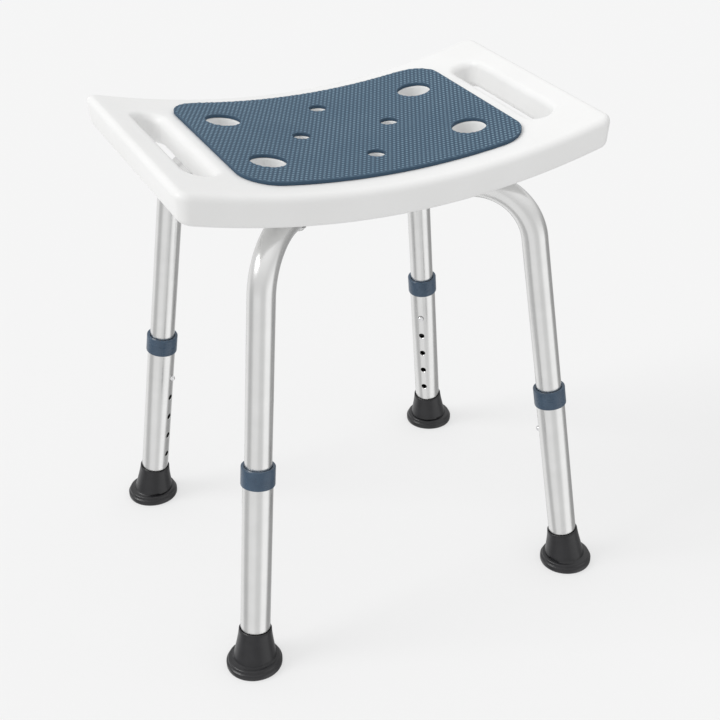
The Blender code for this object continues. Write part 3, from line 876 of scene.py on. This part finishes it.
def lay_along(obj, coordinates):
    """Stores where each point is round and along its tube, which the draw lines follow."""
    lay = obj.data.attributes.new("lay", "FLOAT_VECTOR", "POINT")
    values = []
    for vertex in obj.data.vertices:
        values += coordinates(vertex.co)
    lay.data.foreach_set("vector", values)


def flatness(distance):
    part = (ROUND_START - abs(distance)) / (ROUND_START - FLAT_END)
    part = min(max(part, 0.0), 1.0)
    return part * part * (3 - 2 * part)


def section(centre, distance, wall, side, normal, beside):
    """A frame tube's section, wall inside its skin. Its flat is at the top (side 1) or below (-1)."""
    flat = flatness(distance)
    half_width = INNER_RADIUS + (FLAT_HALF_WIDTH - INNER_RADIUS) * flat - wall
    half_height = INNER_RADIUS + (FLAT_HALF_HEIGHT - INNER_RADIUS) * flat - wall
    centre = centre + normal * side * (INNER_RADIUS - FLAT_HALF_HEIGHT) * flat
    power = 1 / (1 + flat)
    points = []
    for k in range(TUBE_SIDES):
        angle = 2 * math.pi * (k + 0.5) / TUBE_SIDES
        high = math.copysign(abs(math.cos(angle)) ** power, math.cos(angle))
        wide = math.copysign(abs(math.sin(angle)) ** power, math.sin(angle))
        points.append(centre + half_height * high * normal + half_width * wide * beside)
    return points


def bend_place():
    """Distance of the bend's corner from the middle, the turn, and the length taken off each side."""
    turn = math.pi / 2 - LEG_TILT
    corner = FOOT_DISTANCE - FRAME_TOP * math.tan(LEG_TILT)
    return corner, turn, FRAME_BEND * math.tan(turn / 2)


def half_path():
    """(distance from the middle, height, slope angle) from the tube's end up to the middle."""
    corner, turn, tangent = bend_place()
    path = []
    straight_end = (FRAME_TOP - FRAME_BEND * (1 - math.cos(turn))) / math.cos(LEG_TILT)
    for k in range(4):
        along = FRAME_END + (straight_end - FRAME_END) * k / 4
        path.append((FOOT_DISTANCE - along * math.sin(LEG_TILT), along * math.cos(LEG_TILT), turn))
    bend_steps = 28
    for k in range(bend_steps + 1):
        slope = turn * (1 - k / bend_steps)
        distance = corner - tangent + FRAME_BEND * math.sin(slope)
        path.append((distance, FRAME_TOP - FRAME_BEND * (1 - math.cos(slope)), slope))
    for k in range(3):
        path.append((corner - tangent - (corner - tangent - ROUND_START) * (k + 1) / 4, FRAME_TOP, 0.0))
    flatten_steps = 16
    for k in range(flatten_steps + 1):
        distance = ROUND_START + (FLAT_END - ROUND_START) * k / flatten_steps
        path.append((distance, FRAME_TOP, 0.0))
    return path


def frame_tube(name, corner, side):
    """One U-shaped tube, from this corner's leg over to the opposite one."""
    sx, sy = CORNERS[corner]
    outward = Vector((sx * math.cos(LEG_ANGLE), sy * math.sin(LEG_ANGLE), 0.0))
    up = Vector((0, 0, 1))
    beside = up.cross(outward)
    half = half_path()
    path = half + [(-distance, height, -slope) for distance, height, slope in reversed(half)]
    outer = []
    inner = []
    for distance, height, slope in path:
        centre = outward * distance + up * height
        normal = math.cos(slope) * up + math.sin(slope) * outward
        outer.append(section(centre, distance, 0.0, side, normal, beside))
        inner.append(section(centre, distance, TUBE_WALL, side, normal, beside))
    builder = bmesh.new()
    skin(builder, outer + inner[::-1], closed_loop=True)
    tube = add_piece(name + "_polished", builder, FINISHES["aluminium"])

    holes = bmesh.new()
    hole = SCREW_RADIUS + HOLE_GAP
    span = [(hole, FRAME_TOP - 2 * INNER_RADIUS), (hole, FRAME_TOP + 2 * INNER_RADIUS)]
    opposite = next(key for key, value in CORNERS.items() if value == (-sx, -sy))
    places = screw_places()
    for key in (corner, opposite, "centre"):
        turned(span, 24, place=Matrix.Translation(places[key]), builder=holes)
    span = [(FRAME_HOLE_RADIUS, 0.008), (FRAME_HOLE_RADIUS, 0.016)]
    for key in (corner, opposite):
        turned(span, 24, place=leg_frame(key) @ hole_frame(key, BUTTON_PLACE), builder=holes)
    cut(tube, holes)

    bend_corner, turn, tangent = bend_place()
    bend_distance = bend_corner - tangent
    bend_centre = FRAME_TOP - FRAME_BEND

    def coordinates(point):
        distance = point.dot(outward)
        across = point.dot(beside)
        away = abs(distance) - bend_distance
        if away <= 0:
            return across, point.z - FRAME_TOP, abs(distance)
        rise = point.z - bend_centre
        angle = math.atan2(away, rise)
        if angle <= turn:
            return across, math.hypot(away, rise) - FRAME_BEND, bend_distance + FRAME_BEND * angle
        radial = away * math.sin(turn) + rise * math.cos(turn) - FRAME_BEND
        down = away * math.cos(turn) - rise * math.sin(turn)
        return across, radial, bend_distance + FRAME_BEND * turn + down

    lay_along(tube, coordinates)
    settle(tube, ROOT, "aluminium", name)


# ---- legs


def make_leg(corner):
    base = leg_frame(corner)
    body = "leg_" + corner
    inner = OUTER_RADIUS - TUBE_WALL
    profile = [(OUTER_RADIUS, LEG_START), (OUTER_RADIUS, LEG_END), (inner, LEG_END), (inner, LEG_START)]
    builder = turned(rounded(profile, CUT_EDGE, 2), hollow=True, place=base)
    tube = add_piece(body + "_tube", builder, FINISHES["aluminium"])
    holes = bmesh.new()
    for k in range(HOLE_COUNT):
        place = base @ hole_frame(corner, BUTTON_PLACE - k * HOLE_PITCH)
        rim = OUTER_RADIUS - 0.00015
        span = [
            (LEG_HOLE_RADIUS, 0.010),
            (LEG_HOLE_RADIUS, rim - 0.0003),
            (LEG_HOLE_RADIUS + LEG_HOLE_CHAMFER, rim + 0.0003),
            (LEG_HOLE_RADIUS + LEG_HOLE_CHAMFER, 0.018),
        ]
        turned(span, 32, place=place, builder=holes)
    cut(tube, holes)
    back = base.inverted()
    lay_along(tube, lambda point: tuple(back @ point))
    settle(tube, body, "aluminium", "leg_tube_" + corner)

    sleeve = OUTER_RADIUS + GAP
    under_lip = LEG_END + GAP
    profile = [
        (sleeve, COLLAR_START),
        (COLLAR_RADIUS - 0.0003, COLLAR_START),
        (COLLAR_RADIUS, COLLAR_START + 0.0006),
        (COLLAR_RADIUS, COLLAR_END),
        (COLLAR_LIP_RADIUS, COLLAR_END),
        (COLLAR_LIP_RADIUS, under_lip),
        (sleeve, under_lip),
    ]
    builder = turned(rounded(profile, 0.0007, 4), 64, True, base)
    collar = add_piece("collar_" + corner + "_ring", builder, FINISHES["collar"], 50)
    settle(collar, body, "collar", "collar_" + corner)

    tip = add_piece("foot_" + corner + "_ferrule", foot_tip(), FINISHES["rubber"], 50, base)
    settle(tip, body, "rubber", "foot_tip_" + corner)

    place = base @ hole_frame(corner, BUTTON_PLACE)
    profile = [
        (BUTTON_FLANGE, BUTTON_BASE),
        (BUTTON_FLANGE, BUTTON_SHOULDER),
        (BUTTON_RADIUS, BUTTON_SHOULDER),
        (BUTTON_RADIUS, BUTTON_DOME),
    ]
    for k in range(1, 9):
        angle = math.pi / 2 * k / 9
        rise = (BUTTON_TIP - BUTTON_DOME) * math.sin(angle)
        profile.append((BUTTON_RADIUS * math.cos(angle), BUTTON_DOME + rise))
    profile.append((BUTTON_RADIUS * 0.02, BUTTON_TIP))
    builder = turned(profile, 32, place=place)
    button = add_piece("button_" + corner + "_pin", builder, FINISHES["chrome"])
    settle(button, "button_" + corner, "chrome", "snap_button_" + corner)


def foot_tip():
    """A rubber ferrule: a level flange on the floor, and a cone that leans with the leg."""
    beside = Vector((0, 1, 0))
    level_up = Vector((-math.sin(LEG_TILT), 0.0, math.cos(LEG_TILT)))
    level_across = Vector((math.cos(LEG_TILT), 0.0, math.sin(LEG_TILT)))
    sides = 72
    flange = []
    # Four rings moulded into the underside, which grip the floor
    for k in range(4):
        start = 0.0045 + 0.0050 * k
        flange += [(start, 0.0), (start + 0.0024, 0.0)]
        flange += [(start + 0.0029, TIP_GRIP_DEPTH), (start + 0.0045, TIP_GRIP_DEPTH)]
    flange += [(TIP_RADIUS - 0.0016, 0.0), (TIP_RADIUS - 0.0005, 0.0003), (TIP_RADIUS - 0.0001, 0.0012)]
    flange += [(TIP_RADIUS, 0.0020), (TIP_RADIUS, 0.0054), (TIP_RADIUS - 0.0003, 0.0060)]
    flange += [(TIP_RADIUS - 0.0010, 0.0064), (TIP_STEP_RADIUS, 0.0067)]
    flange += [(TIP_STEP_RADIUS - 0.0002, 0.0072), (TIP_STEP_RADIUS - 0.0002, 0.0086)]
    flange += [(TIP_STEP_RADIUS - 0.0006, 0.0094)]
    flange += [(TIP_STEP_RADIUS - 0.0014, 0.0099), (TIP_CONE_RADIUS + 0.0014, 0.0100)]
    flange += [(TIP_CONE_RADIUS + 0.0004, 0.0103)]
    rings = []
    for radius, height in flange:
        rings.append(circle(level_up * height, radius, sides, level_across, beside))
    base = 0.0110
    cone_steps = 12
    for k in range(cone_steps + 1):
        part = k / cone_steps
        lean = LEG_TILT * (1 - part)
        across = Vector((math.cos(lean), 0.0, math.sin(lean)))
        radius = TIP_RIM_RADIUS + (TIP_CONE_RADIUS - TIP_RIM_RADIUS) * (1 - part) ** 1.35
        centre = Vector((0.0, 0.0, base + (TIP_RIM - 0.0004 - base) * part))
        rings.append(circle(centre, radius, sides, across, beside))
    bore = OUTER_RADIUS + GAP
    rings.append(circle(Vector((0.0, 0.0, TIP_RIM)), TIP_RIM_RADIUS - 0.0004, sides))
    for radius, height in ((bore + 0.0002, TIP_RIM), (bore, TIP_RIM - 0.0005), (bore, TIP_BORE_FLOOR)):
        rings.append(circle(Vector((0.0, 0.0, height)), radius, sides))
    builder = bmesh.new()
    skin(builder, rings)
    return builder


# ---- fasteners


def make_fastener(corner, place, tube_bottom):
    """A pan-head screw with a cross recess, and its washer."""
    high = insert_top()
    base = Matrix.Translation(place)
    centre = corner == "centre"
    screw_node = "centre_bolt" if centre else "frame_screw_" + corner
    washer_node = "centre_washer" if centre else "screw_washer_" + corner
    washer_top = tube_bottom - GAP
    washer_bottom = washer_top - WASHER_THICKNESS
    head_top = washer_bottom - GAP
    head_bottom = head_top - SCREW_HEAD_HEIGHT
    screw = []
    for k in range(9):
        angle = math.pi / 2 * k / 8
        radius = max(SCREW_HEAD_RADIUS * math.sin(angle), 0.0001)
        screw.append((radius, head_bottom + SCREW_HEAD_HEIGHT * 0.62 * (1 - math.cos(angle))))
    screw += [(SCREW_HEAD_RADIUS, head_top), (SCREW_RADIUS, head_top)]
    pitch = 0.0010
    height = head_top + 0.004
    while height < high - 0.0018:
        screw += [(SCREW_RADIUS, height), (SCREW_RADIUS * 0.86, height + pitch / 2)]
        height += pitch
    screw += [(SCREW_RADIUS, high - 0.0010), (SCREW_RADIUS * 0.7, high - 0.0003)]
    piece = add_piece(screw_node + "_threaded", turned(screw, 32, place=base), FINISHES["steel"], 40)
    cross = bmesh.new()
    rotate = base @ Matrix.Rotation(0.4, 4, "Z")
    rings = []
    for long, short, height in ((0.0030, 0.00062, -0.001), (0.0022, 0.00040, 0.0019)):
        ring = []
        for k in range(4):
            arm = rotate @ Matrix.Rotation(k * math.pi / 2, 4, "Z")
            for x, y in ((long, -short), (long, short), (short, short)):
                ring.append(arm @ Vector((x, y, head_bottom + height)))
        rings.append(ring)
    skin(cross, rings)
    cut(piece, cross, degrees=40)
    settle(piece, ROOT, "steel", screw_node)

    name = washer_node + "_plain"
    make_ring(name, washer_node, WASHER_RADIUS, washer_bottom, washer_top, "steel", base)


def make_ring(name, node, radius, low, high, slot, place=None):
    """A flat ring round a screw: a washer, or the spacer between the tubes."""
    hole = SCREW_RADIUS + HOLE_GAP
    profile = [(radius, low), (radius, high), (hole, high), (hole, low)]
    builder = turned(rounded(profile, CUT_EDGE, 2), 48, True, place)
    settle(add_piece(name, builder, FINISHES[slot]), ROOT, slot, node)


def make_spacer():
    low = FRAME_TOP - INNER_RADIUS + 2 * FLAT_HALF_HEIGHT + GAP
    high = FRAME_TOP + INNER_RADIUS - 2 * FLAT_HALF_HEIGHT - GAP
    make_ring("crossing_spacer_disc", "crossing_spacer", SPACER_RADIUS, low, high, "spacer")


# ---- studio


# The camera: where it stands, and how it is turned
CAMERA_PLACE = Vector((-0.50116, -1.10182, 0.91249))
CAMERA_YAW = 0.48753
CAMERA_PITCH = 0.52962
CAMERA_ROLL = 0.01336
CAMERA_LENS = 67.875
CAMERA_SHIFT = (-0.0848, 0.0074)


def make_camera():
    data = bpy.data.cameras.new("camera")
    camera = bpy.data.objects.new("camera", data)
    bpy.context.scene.collection.objects.link(camera)
    bpy.context.scene.camera = camera
    data.lens = CAMERA_LENS
    data.shift_x, data.shift_y = CAMERA_SHIFT
    data.clip_start = 0.05
    data.clip_end = 60.0
    flat = math.cos(CAMERA_PITCH)
    forward = Vector(
        (math.sin(CAMERA_YAW) * flat, math.cos(CAMERA_YAW) * flat, -math.sin(CAMERA_PITCH))
    )
    level = Vector((math.cos(CAMERA_YAW), -math.sin(CAMERA_YAW), 0.0))
    upright = level.cross(forward)
    right = level * math.cos(CAMERA_ROLL) + upright * math.sin(CAMERA_ROLL)
    above = upright * math.cos(CAMERA_ROLL) - level * math.sin(CAMERA_ROLL)
    turned_to = Matrix((right, above, -forward)).transposed().to_4x4()
    turned_to.translation = CAMERA_PLACE
    camera.matrix_world = turned_to


# Light and floor
FLOOR_GLOW = 0.585
FLOOR_COLOUR = 0.28
WORLD_LEVEL = 0.90
ZENITH_LEVEL = 1.0
HORIZON_LEVEL = 0.66
BACKDROP_LEVEL = 0.92
FLOOR_HALF = 8.0
KEY_DIRECTION = (-0.80, 0.16, 0.68)
KEY_WIDTH = math.radians(28)
KEY_POWER = 1.25
STUDIO_RIGHT = (0.883, -0.468, 0.0)
STUDIO_FRONT = (-0.468, -0.883, 0.0)
BAND_LIMIT = 1.3
# Soft bands round the horizon, which the tubes reflect: (degrees from the camera's side, level)
BANDS = [
    (-180, 0.70),
    (-150, 1.00),
    (-105, 1.05),
    (-86, 0.62),
    (-64, 0.62),
    (-46, 0.98),
    (-12, 1.00),
    (8, 0.84),
    (28, 0.82),
    (50, 1.20),
    (84, 1.22),
    (100, 0.42),
    (138, 0.42),
    (166, 0.68),
    (180, 0.70),
]


def make_world():
    """Bright on every side, with the darker and brighter bands of a studio's cards and gaps."""
    world = bpy.data.worlds.new("studio")
    bpy.context.scene.world = world
    world.use_nodes = True
    tree = world.node_tree
    tree.nodes.clear()
    link = tree.links.new

    def node(kind, **settings):
        made = tree.nodes.new(kind)
        for key, value in settings.items():
            setattr(made, key, value)
        return made

    def spread(value, start, end, low=0.0, high=1.0):
        made = node("ShaderNodeMapRange", clamp=True)
        spans = {"From Min": start, "From Max": end, "To Min": low, "To Max": high}
        for socket, number in spans.items():
            made.inputs[socket].default_value = number
        link(value, made.inputs["Value"])
        return made.outputs["Result"]

    direction = node("ShaderNodeTexCoord").outputs["Generated"]
    turns = []
    for axis in (STUDIO_RIGHT, STUDIO_FRONT):
        dot = node("ShaderNodeVectorMath", operation="DOT_PRODUCT")
        dot.inputs[1].default_value = axis
        link(direction, dot.inputs[0])
        turns.append(dot.outputs["Value"])
    angle = node("ShaderNodeMath", operation="ARCTAN2")
    link(turns[0], angle.inputs[0])
    link(turns[1], angle.inputs[1])
    ramp = node("ShaderNodeValToRGB")
    elements = ramp.color_ramp.elements
    ramp.color_ramp.interpolation = "EASE"
    while len(elements) > 1:
        elements.remove(elements[-1])
    elements[0].position = 0.0
    for number, (turn, level) in enumerate(BANDS):
        position = (turn + 180) / 360
        element = elements[0] if number == 0 else elements.new(position)
        element.position = position
        shade = level / BAND_LIMIT
        element.color = (shade, shade, shade, 1.0)
    link(spread(angle.outputs[0], -math.pi, math.pi), ramp.inputs["Fac"])
    # The bands fill the lower half, which only reflections see, since the floor hides it from the rest.
    # Upwards they fade into a plain sky
    parts = node("ShaderNodeSeparateXYZ")
    link(direction, parts.inputs[0])
    upward = parts.outputs["Z"]
    sky = spread(upward, 0.0, 0.8, HORIZON_LEVEL, ZENITH_LEVEL)
    blend = node("ShaderNodeMix", data_type="RGBA")
    link(spread(upward, -0.15, 0.25), blend.inputs["Factor"])
    low = node("ShaderNodeVectorMath", operation="SCALE")
    low.inputs["Scale"].default_value = WORLD_LEVEL * BAND_LIMIT
    link(ramp.outputs["Color"], low.inputs[0])
    link(low.outputs[0], blend.inputs[6])
    link(sky, blend.inputs[7])
    background = node("ShaderNodeBackground")
    background.inputs["Strength"].default_value = 1.0
    link(blend.outputs[2], background.inputs["Color"])
    plain = node("ShaderNodeBackground")
    plain.inputs["Color"].default_value = (*(BACKDROP_LEVEL,) * 3, 1.0)
    choose = node("ShaderNodeMixShader")
    link(node("ShaderNodeLightPath").outputs["Is Camera Ray"], choose.inputs["Fac"])
    link(background.outputs[0], choose.inputs[1])
    link(plain.outputs[0], choose.inputs[2])
    output = node("ShaderNodeOutputWorld")
    link(choose.outputs[0], output.inputs["Surface"])


def make_floor():
    builder = bmesh.new()
    corners = ((-1, -1), (1, -1), (1, 1), (-1, 1))
    builder.faces.new([builder.verts.new((x * FLOOR_HALF, y * FLOOR_HALF, 0.0)) for x, y in corners])
    paint = Finish("pale_floor", (FLOOR_COLOUR,) * 3, 0.9, Specular_IOR_Level=0.0)
    paint.shader.inputs["Emission Color"].default_value = (1.0, 1.0, 1.0, 1.0)
    paint.shader.inputs["Emission Strength"].default_value = FLOOR_GLOW
    floor = add_piece("floor", builder, paint.made)
    floor.visible_glossy = False


def make_lamp(name, towards, width, power):
    """A distant soft lamp: its direction from the object, its width as an angle and its strength."""
    data = bpy.data.lights.new(name, "SUN")
    data.angle = width
    data.energy = power
    lamp = bpy.data.objects.new(name, data)
    bpy.context.scene.collection.objects.link(lamp)
    lamp.rotation_mode = "QUATERNION"
    lamp.rotation_quaternion = Vector(towards).to_track_quat("Z", "Y")


def make_studio():
    make_camera()
    make_world()
    make_floor()
    make_lamp("key", KEY_DIRECTION, KEY_WIDTH, KEY_POWER)
    scene = bpy.context.scene
    scene.view_settings.view_transform = "Standard"
    scene.view_settings.look = "None"
    scene.view_settings.exposure = 0.0
    scene.view_settings.gamma = 1.0


def finish_nodes():
    """The small CAD pieces that are right as they are get their finishes."""
    slots = {
        "spring_clip": "steel",
        "tip_washer": "steel",
        "screw_insert": "brass",
        "centre_insert": "brass",
    }
    for name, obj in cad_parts.items():
        for start, slot in slots.items():
            if name.startswith(start):
                for material_slot in obj.material_slots:
                    material_slot.material = FINISHES[slot]


make_studio()
make_seat()
make_pad()
frame_tube("frame_tube_a", "front_left", 1)
frame_tube("frame_tube_b", "front_right", -1)
make_spacer()
for corner, place in screw_places().items():
    make_fastener(corner, place, FRAME_TOP - INNER_RADIUS)
for corner in CORNERS:
    make_leg(corner)
finish_nodes()
